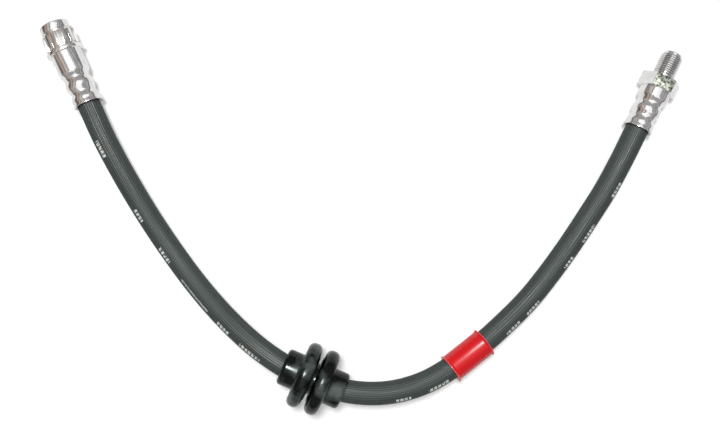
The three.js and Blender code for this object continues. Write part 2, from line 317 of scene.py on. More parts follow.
def select_faces(piece, wanted):
    """In edit mode, selects the faces whose middle, in millimetres, and normal are wanted."""
    bpy.ops.mesh.select_mode(type="FACE")
    bpy.ops.mesh.select_all(action="DESELECT")
    bpy.ops.object.mode_set(mode="OBJECT")
    for polygon in piece.data.polygons:
        polygon.select = bool(wanted(polygon.center / MM, polygon.normal))
    chosen = sum(polygon.select for polygon in piece.data.polygons)
    bpy.ops.object.mode_set(mode="EDIT")
    return chosen


# %% Drawing an outline
MERGE_DISTANCE = 0.001 * MM


def drawn(outline, lift=0):
    """Draws a closed outline of depth and radius, in millimetres, and stays in edit mode."""
    deselect()
    bpy.ops.mesh.primitive_plane_add(size=MM, location=(0, 0, 0))
    piece = bpy.context.object
    bpy.ops.object.mode_set(mode="EDIT")
    bpy.ops.mesh.select_mode(type="VERT")
    bpy.ops.mesh.select_all(action="SELECT")
    bpy.ops.mesh.merge(type="CENTER")
    depth, radius = outline[0]
    bpy.ops.transform.translate(value=(radius * MM, 0, (lift + depth) * MM))
    for (depth, radius), (next_depth, next_radius) in zip(outline, outline[1:] + outline[:1]):
        step = ((next_radius - radius) * MM, 0, (next_depth - depth) * MM)
        bpy.ops.mesh.extrude_region_move(TRANSFORM_OT_translate={"value": step})
    bpy.ops.mesh.select_all(action="SELECT")
    bpy.ops.mesh.remove_doubles(threshold=MERGE_DISTANCE)
    return piece


# %% Turning on the lathe
def turned(name, outline, sides):
    """Spins a closed outline of depth and radius, in millimetres, about the Z axis."""
    piece = drawn(outline)
    piece.name = piece.data.name = name
    bpy.ops.mesh.spin(
        steps=sides, angle=2 * math.pi, center=(0, 0, 0), axis=(0, 0, 1), use_auto_merge=True
    )
    bpy.ops.mesh.select_all(action="SELECT")
    bpy.ops.mesh.remove_doubles(threshold=MERGE_DISTANCE)
    bpy.ops.mesh.normals_make_consistent(inside=False)
    bpy.ops.object.mode_set(mode="OBJECT")
    return piece


# %% Finishing with modifiers
def apply_modifier(piece, modifier):
    pick(piece)
    bpy.ops.object.modifier_apply(modifier=modifier.name)


def carve(piece, tool, operation="DIFFERENCE"):
    """Cuts a tool out of a piece, or joins it on, and throws the tool away."""
    cut = piece.modifiers.new("cut", "BOOLEAN")
    cut.operation = operation
    cut.solver = "EXACT"
    cut.object = tool
    apply_modifier(piece, cut)
    bpy.data.objects.remove(tool)


def soften(piece, width, angle=35, segments=2):
    """Rounds the edges that are sharper than an angle, by a width in millimetres."""
    bevel = piece.modifiers.new("soften", "BEVEL")
    bevel.width = width * MM
    bevel.segments = segments
    bevel.limit_method = "ANGLE"
    bevel.angle_limit = math.radians(angle)
    apply_modifier(piece, bevel)


def smooth(piece, angle=32):
    pick(piece)
    bpy.ops.object.shade_smooth_by_angle(angle=math.radians(angle))


def seat(piece, point, heading):
    """Turns a piece from the Z axis to its heading, and moves it from the origin to its point."""
    sideways = UP.cross(heading).normalized()
    upwards = heading.cross(sideways)
    turn = Matrix((sideways, upwards, heading)).transposed().to_4x4()
    piece.matrix_world = Matrix.Translation(point) @ turn
    pick(piece)
    bpy.ops.object.transform_apply(location=True, rotation=True, scale=True)


# %% [markdown]
# ## Cutting threads
# A thread is a V groove that winds round an axis. The cutter is a short four-cornered outline,
# swept by the Screw modifier and closed at its ends. The same helper cuts the outside thread of
# one fitting and the inside thread of the other: only the radii of its root and crest differ.

# %% A winding cutter
THREAD_PITCH = 1.0
THREAD_TURNS = 13
THREAD_HALF_ANGLE = 30
THREAD_SIDES = 48
CREST_FLAT = 0.06
CUTTER_OVERLAP = 0.1


def thread_cutter(wide_radius, narrow_radius, start, turns):
    """A closed V ridge, wide at one radius and narrow at the other, in millimetres."""
    slope = math.tan(math.radians(THREAD_HALF_ANGLE))
    half = CREST_FLAT + abs(wide_radius - narrow_radius) * slope
    corners = (
        (-half, wide_radius),
        (-CREST_FLAT, narrow_radius),
        (CREST_FLAT, narrow_radius),
        (half, wide_radius),
    )
    cutter = drawn(corners, lift=start)
    bpy.ops.object.mode_set(mode="OBJECT")
    screw = cutter.modifiers.new("wind", "SCREW")
    screw.axis = "Z"
    screw.angle = 2 * math.pi
    screw.screw_offset = THREAD_PITCH * MM
    screw.iterations = turns
    screw.steps = screw.render_steps = THREAD_SIDES
    screw.use_smooth_shade = False
    apply_modifier(cutter, screw)
    bpy.ops.object.mode_set(mode="EDIT")
    bpy.ops.mesh.select_all(action="SELECT")
    bpy.ops.mesh.fill_holes(sides=0)
    bpy.ops.mesh.select_all(action="SELECT")
    bpy.ops.mesh.normals_make_consistent(inside=False)
    bpy.ops.object.mode_set(mode="OBJECT")
    return cutter


# %% [markdown]
# ## The female fitting
# One turned steel piece: the socket that was crimped on the hose, a smooth barrel, a thin
# flange, a splined collar that stops it turning in its bracket, a groove for the spring clip
# and a round nose with the threaded port. Its outline is a closed loop that runs out along the
# outside and comes back through the port and the socket.

# %% Outline of the female fitting
TURNED_SIDES = 96
CRIMP_STEPS = 48
BARREL = OUTSIDE["barrel"]
POCKET_RADIUS = 3.1
POCKET_END = 21.6
FLUID_RADIUS = 1.1
FLANGE_START = 25.5
FLANGE_END = 27.1
FLANGE_RADIUS = 8.5
SPLINE_START = 28.1
SPLINE_END = 35.0
NOSE_START = 36.1
FEMALE_TIP = 40.0
NOSE_RADIUS = 6.75
GROOVE_RADIUS = 6.1
PORT_RADIUS = 4.5
PORT_BOTTOM = 28.0
TIP_CHAMFER = 0.6
PORT_CHAMFER = 0.7

socket_hollow = [
    (POCKET_END, FLUID_RADIUS),
    (POCKET_END, POCKET_RADIUS),
    (SOCKET_DEPTH, POCKET_RADIUS),
    (SOCKET_DEPTH, INSIDE["barrel"]),
    *reversed(crimp_outline(INSIDE, CRIMP_STEPS)),
]
female_outline = [
    *crimp_outline(OUTSIDE, CRIMP_STEPS),
    (FLANGE_START, BARREL),
    (FLANGE_START, FLANGE_RADIUS),
    (FLANGE_END, FLANGE_RADIUS),
    (FLANGE_END, NOSE_RADIUS),
    (SPLINE_START, NOSE_RADIUS),
    (SPLINE_END, NOSE_RADIUS),
    (SPLINE_END, GROOVE_RADIUS),
    (NOSE_START, GROOVE_RADIUS),
    (NOSE_START, NOSE_RADIUS),
    (FEMALE_TIP - TIP_CHAMFER, NOSE_RADIUS),
    (FEMALE_TIP, NOSE_RADIUS - TIP_CHAMFER),
    (FEMALE_TIP, PORT_RADIUS + PORT_CHAMFER),
    (FEMALE_TIP - PORT_CHAMFER, PORT_RADIUS),
    (PORT_BOTTOM, PORT_RADIUS),
    (PORT_BOTTOM - (PORT_RADIUS - FLUID_RADIUS) / 2, FLUID_RADIUS),
    *socket_hollow,
]
female_body = turned("female_body", female_outline, TURNED_SIDES)
print("female outline points:", len(female_outline))

# %% [markdown]
# The teeth of the collar rise from the turned surface. Every tooth is four columns of faces,
# and one inset with a depth lifts all twelve of them at once with sloping sides, as a broach
# leaves them.

# %% Teeth of the splined collar
TEETH = 12
TOOTH_HEIGHT = 0.95
TOOTH_SLOPE = 0.2
SURFACE_SLACK = 0.1
tooth_pitch = 360 / TEETH


def on_tooth(middle, normal):
    if not SPLINE_START < middle.z < SPLINE_END:
        return False
    if math.hypot(middle.x, middle.y) < NOSE_RADIUS - SURFACE_SLACK:
        return False
    turn = math.degrees(math.atan2(middle.y, middle.x)) % tooth_pitch
    return min(turn, tooth_pitch - turn) < tooth_pitch / 4


pick(female_body)
bpy.ops.object.mode_set(mode="EDIT")
raised = select_faces(female_body, on_tooth)
bpy.ops.mesh.inset(thickness=TOOTH_SLOPE * MM, depth=TOOTH_HEIGHT * MM)
bpy.ops.object.mode_set(mode="OBJECT")
print("faces raised for the teeth:", raised)

# %% Soft edges, port thread and place of the female fitting
EDGE_SOFTNESS = 0.12
THREAD_REACH = 0.55
PORT_THREAD_START = PORT_BOTTOM + 1.5
soften(female_body, EDGE_SOFTNESS)
port_thread = thread_cutter(
    PORT_RADIUS - CUTTER_OVERLAP, PORT_RADIUS + THREAD_REACH, PORT_THREAD_START, THREAD_TURNS
)
carve(female_body, port_thread)
smooth(female_body)
seat(female_body, female_mouth, female_heading)
print("female fitting faces:", len(female_body.data.polygons))

# %% [markdown]
# ## The male fitting
# The second fitting has the same crimp, a shorter barrel, a hexagon for the spanner, and a
# threaded shank whose plain pilot ends in a cone that seals. The hexagon is a six-sided
# cylinder with a hole, and its corners are turned off by keeping only what it shares with a
# chamfered disc.

# %% Turned body of the male fitting
HEX_START = 19.7
HEX_END = 25.7
HEX_TRIM = 0.5
HEX_FLATS = 16.0
HEX_HOLE = 5.0
THREAD_RADIUS = 5.0
THREAD_ROOT = 4.4
THREAD_START = 27.3
THREAD_RUN_IN = 1
PILOT_START = 36.9
PILOT_RADIUS = 4.1
MALE_TIP = 38.6
SEAT_WIDTH = 1.7
BODY_STEP = 0.3

male_outline = [
    *crimp_outline(OUTSIDE, CRIMP_STEPS),
    (HEX_START + BODY_STEP, BARREL),
    (HEX_END - BODY_STEP, BARREL),
    (HEX_END - BODY_STEP, THREAD_ROOT),
    (THREAD_START, THREAD_ROOT),
    (THREAD_START + THREAD_RADIUS - THREAD_ROOT, THREAD_RADIUS),
    (PILOT_START - THREAD_RADIUS + THREAD_ROOT, THREAD_RADIUS),
    (PILOT_START, THREAD_ROOT),
    (PILOT_START, PILOT_RADIUS),
    (MALE_TIP - TIP_CHAMFER, PILOT_RADIUS),
    (MALE_TIP, PILOT_RADIUS - TIP_CHAMFER),
    (MALE_TIP, FLUID_RADIUS + SEAT_WIDTH),
    (MALE_TIP - SEAT_WIDTH, FLUID_RADIUS),
    *socket_hollow,
]
male_body = turned("male_body", male_outline, TURNED_SIDES)
soften(male_body, EDGE_SOFTNESS)
male_thread = thread_cutter(
    THREAD_RADIUS + CUTTER_OVERLAP, THREAD_ROOT, THREAD_START - THREAD_RUN_IN, THREAD_TURNS
)
carve(male_body, male_thread)
print("male body faces:", len(male_body.data.polygons))

# %% Hexagon for the spanner
HEX_TURN = 30
CHAMFER_ANGLE = 30
DISC_HOLE = 2
PAST_CORNER = 0.05
FACING = 0.9
hex_corner = HEX_FLATS / math.sqrt(3)
hex_face = hex_corner - HEX_TRIM
hex_chamfer = HEX_TRIM * math.tan(math.radians(CHAMFER_ANGLE))
deselect()
bpy.ops.mesh.primitive_cylinder_add(
    vertices=6,
    radius=hex_corner * MM,
    depth=(HEX_END - HEX_START) * MM,
    location=(0, 0, (HEX_START + HEX_END) / 2 * MM),
    rotation=(0, 0, math.radians(HEX_TURN)),
)
hexagon = bpy.context.object
bpy.ops.object.transform_apply(location=True, rotation=True, scale=True)
bpy.ops.object.mode_set(mode="EDIT")
select_faces(hexagon, lambda middle, normal: abs(normal.z) > FACING)
bpy.ops.mesh.inset(thickness=(hex_corner - HEX_HOLE) * math.cos(math.radians(HEX_TURN)) * MM)
bpy.ops.mesh.bridge_edge_loops()
bpy.ops.object.mode_set(mode="OBJECT")
chamfered_disc = turned("chamfered_disc", [
    (HEX_START, DISC_HOLE),
    (HEX_START, hex_face),
    (HEX_START + hex_chamfer, hex_corner + PAST_CORNER),
    (HEX_END - hex_chamfer, hex_corner + PAST_CORNER),
    (HEX_END, hex_face),
    (HEX_END, DISC_HOLE),
], TURNED_SIDES)
carve(hexagon, chamfered_disc, "INTERSECT")
soften(hexagon, EDGE_SOFTNESS, angle=40)
print("hexagon faces:", len(hexagon.data.polygons))

# %% Hexagon joined to the body, and the male fitting in its place
carve(male_body, hexagon, "UNION")
smooth(male_body)
seat(male_body, male_mouth, male_heading)
print("male fitting faces:", len(male_body.data.polygons))

# %% [markdown]
# ## The hose as a cutter
# The grommet and the sleeve are straight, but the hose bends inside them, so a straight hole
# would either miss the hose or cut into it. A plain copy of the hose, a little thicker, is laid
# along the same line and cut out of both.


# %% A plain tube along part of the hose
def plain_hose(middle, reach, radius, sides=64, count=24):
    """A closed tube along the hose, from middle - reach to middle + reach."""
    tube_points = []
    for i in range(count + 1):
        centre, heading = along_hose((middle + reach * (2 * i / count - 1)) * MM)
        for side in range(sides):
            tube_points.append(ring_point(centre, heading, side / sides, radius))
    tube_faces = []
    for ring in range(count):
        for side in range(sides):
            a = ring * sides + side
            b = ring * sides + (side + 1) % sides
            tube_faces.append((a, b, b + sides, a + sides))
    tube_faces.append(tuple(reversed(range(sides))))
    tube_faces.append(tuple(count * sides + side for side in range(sides)))
    mesh = bpy.data.meshes.new("plain_hose")
    mesh.from_pydata(tube_points, [], tube_faces)
    tube = bpy.data.objects.new("plain_hose", mesh)
    bpy.context.collection.objects.link(tube)
    return tube


# %% [markdown]
# ## The bracket grommet
# Two thick discs with round rims stand on a core, with a collar on each side. The plate of the
# bracket slides into the groove between the discs, where a small lip on each face pinches it.
# The outline is drawn for one half and mirrored, then spun.

# %% Grommet
GROMMET_DISTANCE = 167
GROMMET_SHIFT = 0.8 * MM
GROMMET_SIDES = 96
CORE_RADIUS = 7.5
HALF_GROOVE = 1.05
LIP_RADIUS = 10.2
LIP_HALF_WIDTH = 1.2
LIP_HEIGHT = 0.4
DISC_RADIUS = 15.25
DISC_END = 7.55
RIM_ROUND = 2.9
COLLAR_RADIUS = 8.4
COLLAR_END = 14.95
COLLAR_ROUND = 1.6
FILLET = 0.6
GROOVE_FILLET = 0.4
LIP_SINK = 0.4
GROMMET_REACH = 19
ARC_STEPS = 10
ROUND_STEPS = 6
FILLET_STEPS = 4
INNER_RADIUS = 2.0


def arc(centre_depth, centre_radius, radius, start, end, steps=ARC_STEPS):
    """Pairs of depth and radius along an arc. Zero degrees points away from the axis."""
    turns = [math.radians(start + (end - start) * i / steps) for i in range(steps + 1)]
    return [
        (centre_depth + radius * math.sin(turn), centre_radius + radius * math.cos(turn))
        for turn in turns
    ]


half_grommet = [
    (0, CORE_RADIUS),
    *arc(
        HALF_GROOVE - GROOVE_FILLET, CORE_RADIUS + GROOVE_FILLET, GROOVE_FILLET,
        180, 90, FILLET_STEPS,
    ),
    (HALF_GROOVE, LIP_RADIUS - LIP_HALF_WIDTH),
    *arc(HALF_GROOVE + LIP_SINK, LIP_RADIUS, LIP_HEIGHT + LIP_SINK, -140, -40, ROUND_STEPS),
    (HALF_GROOVE, LIP_RADIUS + LIP_HALF_WIDTH),
    *arc(HALF_GROOVE + RIM_ROUND, DISC_RADIUS - RIM_ROUND, RIM_ROUND, -90, 0),
    *arc(DISC_END - RIM_ROUND, DISC_RADIUS - RIM_ROUND, RIM_ROUND, 0, 90),
    *arc(DISC_END + FILLET, COLLAR_RADIUS + FILLET, FILLET, 270, 180, FILLET_STEPS),
    *arc(
        COLLAR_END - COLLAR_ROUND, COLLAR_RADIUS - COLLAR_ROUND, COLLAR_ROUND,
        0, 90, ROUND_STEPS,
    ),
    (COLLAR_END, INNER_RADIUS),
]
mirrored = [(-depth, radius) for depth, radius in reversed(half_grommet[1:])]
grommet_body = turned("grommet_body", mirrored + half_grommet, GROMMET_SIDES)
print("grommet outline points:", len(mirrored + half_grommet))

# %% Grommet on the hose
BORE_CLEARANCE = 0.08
grommet_point, grommet_heading = along_hose(GROMMET_DISTANCE * MM)
grommet_heading = Vector((grommet_heading.x, grommet_heading.y, 0)).normalized()
grommet_point = grommet_point + UP.cross(grommet_heading) * GROMMET_SHIFT
grommet_point.z = DISC_RADIUS * MM
seat(grommet_body, grommet_point, grommet_heading)
carve(grommet_body, plain_hose(GROMMET_DISTANCE, GROMMET_REACH, HOSE_RADIUS + BORE_CLEARANCE))
smooth(grommet_body, angle=40)
print("grommet at, mm:", [round(value / MM, 2) for value in grommet_point])

# %% [markdown]
# ## The marker sleeve
# A thin plastic tube that was pushed on before the second fitting was crimped. Its ends flare
# to a sharp rim, which catches the light as a fine line.

# %% Sleeve
SLEEVE_DISTANCE = 242.6
SLEEVE_END = 10.0
SLEEVE_RADIUS = 6.4
RIM_RADIUS = 7.0
RIM_WIDTH = 0.3
RIM_SLOPE = 0.9
RIM_EASE = 0.3
EASE_RISE = 0.04
SLOPE_RISE = 0.2
RIM_SOFTNESS = 0.1
SLEEVE_REACH = 13

half_sleeve = [
    (0, SLEEVE_RADIUS),
    (SLEEVE_END - RIM_WIDTH - RIM_SLOPE - RIM_EASE, SLEEVE_RADIUS),
    (SLEEVE_END - RIM_WIDTH - RIM_SLOPE, SLEEVE_RADIUS + EASE_RISE),
    (SLEEVE_END - RIM_WIDTH - RIM_SLOPE / 2, SLEEVE_RADIUS + SLOPE_RISE),
    (SLEEVE_END - RIM_WIDTH, RIM_RADIUS),
    (SLEEVE_END, RIM_RADIUS),
    (SLEEVE_END, INNER_RADIUS),
]
mirrored = [(-depth, radius) for depth, radius in reversed(half_sleeve[1:])]
sleeve_body = turned("sleeve_body", mirrored + half_sleeve, TURNED_SIDES)
soften(sleeve_body, RIM_SOFTNESS, angle=50)
sleeve_point, sleeve_heading = along_hose(SLEEVE_DISTANCE * MM)
seat(sleeve_body, sleeve_point, sleeve_heading)
carve(sleeve_body, plain_hose(SLEEVE_DISTANCE, SLEEVE_REACH, HOSE_RADIUS + BORE_CLEARANCE))
smooth(sleeve_body)
print("sleeve at, mm:", [round(value / MM, 2) for value in sleeve_point])

# %% [markdown]
# ## Sums on sockets
# A finish is a graph of nodes. Long graphs read better as sums, so a small class wraps the
# output of a node, and Python's own operators add the Math nodes. Every other node comes from
# one method that is told its type, its settings and its inputs.


# %% A socket that can be added and multiplied
class Strand:
    """An output of a shader node. Sums on it add Math nodes to its tree."""

    def __init__(self, tree, socket=None):
        self.tree = tree
        self.socket = socket

    def node(self, kind, settings=None, values=None, output=0):
        """Adds a node, makes its settings, fills or links its inputs, and gives an output."""
        made = self.tree.nodes.new(kind)
        for name, setting in (settings or {}).items():
            if name == "stops":
                ramp = made.color_ramp
                while len(ramp.elements) < len(setting):
                    ramp.elements.new(1)
                for element, (position, colour) in zip(ramp.elements, setting):
                    element.position = position
                    element.color = colour
            elif name == "ramp":
                made.color_ramp.interpolation = setting
            else:
                setattr(made, name, setting)
        for name, value in (values or {}).items():
            if isinstance(value, Strand):
                self.tree.links.new(value.socket, made.inputs[name])
            else:
                made.inputs[name].default_value = value
        return Strand(self.tree, made.outputs[output])

    def maths(self, operation, *values):
        return self.node("ShaderNodeMath", {"operation": operation}, dict(enumerate(values)))

    def mixed(self, zero, one):
        """A colour that is zero where this strand is 0, and one where it is 1."""
        return self.node(
            "ShaderNodeMix", {"data_type": "RGBA"}, {0: self, 6: zero, 7: one}, output=2
        )

    def into(self, node, name):
        self.tree.links.new(self.socket, node.inputs[name])

    def __add__(self, other):
        return self.maths("ADD", self, other)

    __radd__ = __add__

    def __sub__(self, other):
        return self.maths("SUBTRACT", self, other)

    def __rsub__(self, other):
        return self.maths("SUBTRACT", other, self)

    def __mul__(self, other):
        return self.maths("MULTIPLY", self, other)

    def __lt__(self, other):
        return self.maths("LESS_THAN", self, other)

    def __gt__(self, other):
        return self.maths("GREATER_THAN", self, other)


# %% Starting a finish
def new_finish(name, uniform):
    """A material, its shader and a strand to start from. Uniform values go on the shader."""
    material = bpy.data.materials.new(name)
    material.use_nodes = True
    shader = material.node_tree.nodes["Principled BSDF"]
    for socket, value in uniform.items():
        shader.inputs[socket].default_value = value
    return material, shader, Strand(material.node_tree)


def own_place(start):
    """The place in the object's own coordinates."""
    return start.node("ShaderNodeTexCoord", None, None, output=3)


def wear(piece, *materials):
    piece.data.materials.clear()
    for material in materials:
        piece.data.materials.append(material)


def grain(strand, place, scale, detail=3.0, roughness=0.5):
    """Noise between 0 and 1 at a place."""
    return strand.node(
        "ShaderNodeTexNoise", None,
        {"Vector": place, "Scale": scale, "Detail": detail, "Roughness": roughness},
    )


def bumped(strand, shader, height, strength, distance):
    """Feeds a height to the shader's normal. The distance is in metres."""
    strand.node(
        "ShaderNodeBump", None, {"Height": height, "Strength": strength, "Distance": distance}
    ).into(shader, "Normal")


print("helpers for finishes are ready")

# %% [markdown]
# ## Rubber of the hose
# The cover is black rubber with a dry, slightly green bloom. Fine streaks run along the ribs,
# and a row of pale printed ticks sits on the outer side. The print is generic: it only marks
# that the hose isn't twisted.

# %% Hose rubber
HOSE_DARK = (0.014, 0.023, 0.019, 1)
HOSE_PALE = (0.045, 0.060, 0.055, 1)
PRINT_PALE = (0.56, 0.60, 0.56, 1)
rubber, shader, start = new_finish("hose_rubber", {"Specular IOR Level": 0.55})
flat = start.node("ShaderNodeUVMap", {"uv_map": "hose_map"})
parts = start.node("ShaderNodeSeparateXYZ", None, {0: flat})
down_hose = Strand(parts.tree, parts.socket.node.outputs[0])
round_hose = Strand(parts.tree, parts.socket.node.outputs[1])
place = own_place(start)

streak_place = start.node(
    "ShaderNodeCombineXYZ", None, {0: down_hose * 30, 1: round_hose * 150}
)
streaks = grain(start, streak_place, 1.0, detail=4.0)
cloud = grain(start, place, 55.0, detail=3.0)
speck = grain(start, place, 2600.0, detail=2.0)
rib_phase = (round_hose * RIBS).maths("FRACT", round_hose * RIBS)
rib_crest = rib_phase.maths("PINGPONG", rib_phase, 0.5) * 2
dust = streaks * 1.5 + cloud * 0.3 + rib_crest * 0.6 - 0.95
line_place = start.node(
    "ShaderNodeCombineXYZ", None, {0: down_hose * 9, 1: round_hose * 170, 2: 0.7}
)
lines = start.node("ShaderNodeClamp", None, {0: grain(start, line_place, 1.0) * 7 - 3.7})
tone = dust.node("ShaderNodeClamp", None, {0: dust})
cover_colour = tone.mixed(HOSE_DARK, HOSE_PALE)
print("hose strands:", len(rubber.node_tree.nodes))

# %% Printed ticks on the hose
# Each pair is a start and an end along the hose, in millimetres from the female mouth.
PRINTED = (
    (16, 25), (52, 59), (72, 81), (116, 124), (131, 141), (204, 211),
    (219, 228), (262, 269), (275, 283), (301, 308), (316, 325), (340, 348),
)
LINE = (91, 109)
TICK_PITCH = 1.9
TICK_SHARE = 0.72
BAND = 1.05 / (2 * math.pi * HOSE_RADIUS)
LINE_BAND = 0.60 / (2 * math.pi * HOSE_RADIUS)
LINE_STRENGTH = 0.6
# The print lies 46 degrees from the top, and 18 degrees nearer to it at the female end.
PRINT_TURN = 0.5 + 46 / 360
PRINT_DRIFT = -18 / 360
DRIFT_END = 0.35
WORN_BELOW = 0.42


def share_of_hose(distance):
    return (distance + END_DEPTH) * MM / whole_length


def switched(intervals):
    """Stops of a ramp that is white inside the intervals and black elsewhere."""
    stops = [(0.0, (0, 0, 0, 1))]
    for begin, end in intervals:
        stops.append((share_of_hose(begin), (1, 1, 1, 1)))
        stops.append((share_of_hose(end), (0, 0, 0, 1)))
    return {"ramp": "CONSTANT", "stops": stops}


drifted = start.node(
    "ShaderNodeMapRange", None,
    {0: down_hose, 1: 0.0, 2: DRIFT_END, 3: PRINT_TURN + PRINT_DRIFT, 4: PRINT_TURN},
)
off_print = (round_hose - drifted).maths("ABSOLUTE", round_hose - drifted)
tick_groups = start.node("ShaderNodeValToRGB", switched(PRINTED), {0: down_hose})
rule = start.node("ShaderNodeValToRGB", switched([LINE]), {0: down_hose})
tick_count = down_hose * (whole_length / MM / TICK_PITCH)
ticks = tick_count.maths("FRACT", tick_count) < TICK_SHARE
worn = grain(start, place, 1500.0, detail=2.0) > WORN_BELOW
printed = tick_groups * ticks * (off_print < BAND)
printed = printed + rule * (off_print < LINE_BAND) * LINE_STRENGTH
printed = printed * worn
printed.mixed(cover_colour, PRINT_PALE).into(shader, "Base Color")
(0.56 - lines * 0.28 + speck * 0.06).into(shader, "Roughness")
bumped(start, shader, speck + streaks * 0.6, 0.35, 0.00005)
wear(hose_cover, rubber)
print("hose rubber nodes:", len(rubber.node_tree.nodes))

# %% [markdown]
# ## Plated steel
# The fittings are turned from steel and plated bright. Turning leaves rings so fine that they
# only stretch the highlights, so the pattern follows the depth along each fitting. The depth
# is worked out from the object's own coordinates and the heading of the fitting, so the
# pattern stays the same in every view.


# %% A finish for a turned fitting
RING_SCALE = 9000
STEEL_BRIGHT = (0.89, 0.885, 0.88, 1)
STEEL_DULL = (0.62, 0.61, 0.60, 1)
# The darker colour in the roots of a thread is painted shade.
THREAD_ROOT_SHADE = (0.55, 0.55, 0.56, 1)
ROOT_DEPTH = 0.38


def plated_steel(name, point, heading, thread=None):
    material, shader, start = new_finish(name, {"Metallic": 1.0})
    place = own_place(start)
    centred = start.node(
        "ShaderNodeVectorMath", {"operation": "SUBTRACT"}, {0: place, 1: tuple(point)}
    )
    depth = start.node(
        "ShaderNodeVectorMath", {"operation": "DOT_PRODUCT"},
        {0: centred, 1: tuple(heading)}, output=1,
    )
    ring_place = start.node("ShaderNodeCombineXYZ", None, {0: depth * RING_SCALE})
    turning = grain(start, ring_place, 1.0, detail=2.0)
    blotches = grain(start, place, 260.0, detail=4.0)
    fine = grain(start, place, 3000.0, detail=2.0)
    dull = start.node("ShaderNodeClamp", None, {0: blotches * 1.5 - 0.35})
    colour = dull.mixed(STEEL_BRIGHT, STEEL_DULL)
    if thread:
        first, last, crest = thread
        on_axis = start.node(
            "ShaderNodeVectorMath", {"operation": "SCALE"}, {0: tuple(heading), "Scale": depth}
        )
        from_axis = start.node(
            "ShaderNodeVectorMath", {"operation": "DISTANCE"}, {0: centred, 1: on_axis}, output=1
        )
        # Painted shade: the roots of the thread get a darker base colour.
        root_shade = (depth > first * MM) * (depth < last * MM)
        root_shade = root_shade * (from_axis < (crest - ROOT_DEPTH) * MM)
        colour = root_shade.mixed(colour, THREAD_ROOT_SHADE)
    colour.into(shader, "Base Color")
    (0.07 + blotches * 0.07 + fine * 0.03).into(shader, "Roughness")
    bumped(start, shader, turning + fine * 0.4, 0.12, 0.00002)
    return material


wear(female_body, plated_steel("female_steel", female_mouth, female_heading))
print("plated steel is on the female fitting")

# %% [markdown]
# The hexagon wasn't turned. Only its top and bottom faces, the flats that face up and down, get
# the dull, slightly green skin of drawn bar, as painted shade; the side flats are as bright as
# the rest. The skin is a second finish on the same piece. The roots of the thread are painted
# darker, as painted shade.

# %% Drawn bar skin of the hexagon, as painted shade
BAR_DARK = (0.035, 0.042, 0.03, 1)
BAR_PALE = (0.36, 0.385, 0.33, 1)
bar, shader, start = new_finish("drawn_bar_painted_shade", {"Metallic": 1.0})
place = own_place(start)
skin = grain(start, place, 900.0, detail=4.0, roughness=0.6)
spots = start.node("ShaderNodeClamp", None, {0: skin * 5 - 2.0})
spots.mixed(BAR_DARK, BAR_PALE).into(shader, "Base Color")
(0.30 + skin * 0.22).into(shader, "Roughness")
bumped(start, shader, grain(start, place, 1500.0, detail=4.0), 0.35, 0.00005)



def depth_and_radius(middle, point, heading):
    """How far a place lies along an axis and out from it, in millimetres."""
    away = (middle - point) / MM
    depth = away.dot(heading)
    return depth, (away - heading * depth).length


thread = (THREAD_START, PILOT_START, THREAD_RADIUS)
wear(male_body, plated_steel("male_steel", male_mouth, male_heading, thread), bar)
# Painted shade: only the hexagon flats that face up and down get the dull skin; the side flats
# stay bright.
for polygon in male_body.data.polygons:
    depth, from_axis = depth_and_radius(polygon.center, male_mouth, male_heading)
    on_hexagon = HEX_START < depth < HEX_END and from_axis > BARREL + SURFACE_SLACK
    if on_hexagon and abs(polygon.normal.z) > FACING:
        polygon.material_index = 1
print("bar faces:", sum(polygon.material_index for polygon in male_body.data.polygons))

# %% [markdown]
# ## Steel of the inserts
# The two inserts sit inside the crimps and keep their CAD shape. They are cut from plain steel.

# %% Insert steel
INSERT_DARK = (0.42, 0.42, 0.41, 1)
INSERT_PALE = (0.60, 0.60, 0.58, 1)
insert_steel, shader, start = new_finish("insert_steel", {"Metallic": 1.0})
place = own_place(start)
cut_marks = grain(start, place, 900.0, detail=4.0)
cut_marks.mixed(INSERT_DARK, INSERT_PALE).into(shader, "Base Color")
(0.28 + cut_marks * 0.15).into(shader, "Roughness")
for name in ("female_insert", "male_insert"):
    wear(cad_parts[name], insert_steel)
print("insert steel nodes:", len(insert_steel.node_tree.nodes))

# %% [markdown]
# ## Moulded rubber of the grommet
# The mould was polished, so the grommet is deep black with a clear shine. A faint bloom and a
# few dull grey patches, which are partly rubber bloom and partly painted sheen, keep it from
# looking like glass.

# %% Grommet rubber
GROMMET_BLACK = (0.001, 0.0015, 0.0015, 1)
GROMMET_BLOOM_AND_SHEEN = (0.082, 0.099, 0.094, 1)
moulded, shader, start = new_finish("grommet_rubber", {
    "Specular IOR Level": 0.28,
    "Specular Tint": (0.90, 1.0, 0.98, 1),
})
place = own_place(start)
bloom = grain(start, place, 110.0, detail=4.0, roughness=0.5)
pores = grain(start, place, 1400.0, detail=3.0)
# The grey patches are partly rubber bloom and partly painted sheen.
bloom_and_sheen_patches = start.node("ShaderNodeClamp", None, {0: bloom * 3.8 - 1.80})
bloom_and_sheen_patches.mixed(GROMMET_BLACK, GROMMET_BLOOM_AND_SHEEN).into(shader, "Base Color")
(0.14 + bloom_and_sheen_patches * 0.16 + pores * 0.04).into(shader, "Roughness")
bumped(start, shader, pores * 0.5 + bloom, 0.20, 0.00006)
wear(grommet_body, moulded)
print("grommet rubber nodes:", len(moulded.node_tree.nodes))

# %% [markdown]
# ## Red plastic of the sleeve
# Plain plastic, coloured through. The colour is a little deeper in some places, and the skin
# is smooth enough for one long highlight. The flared rims are a paler red.

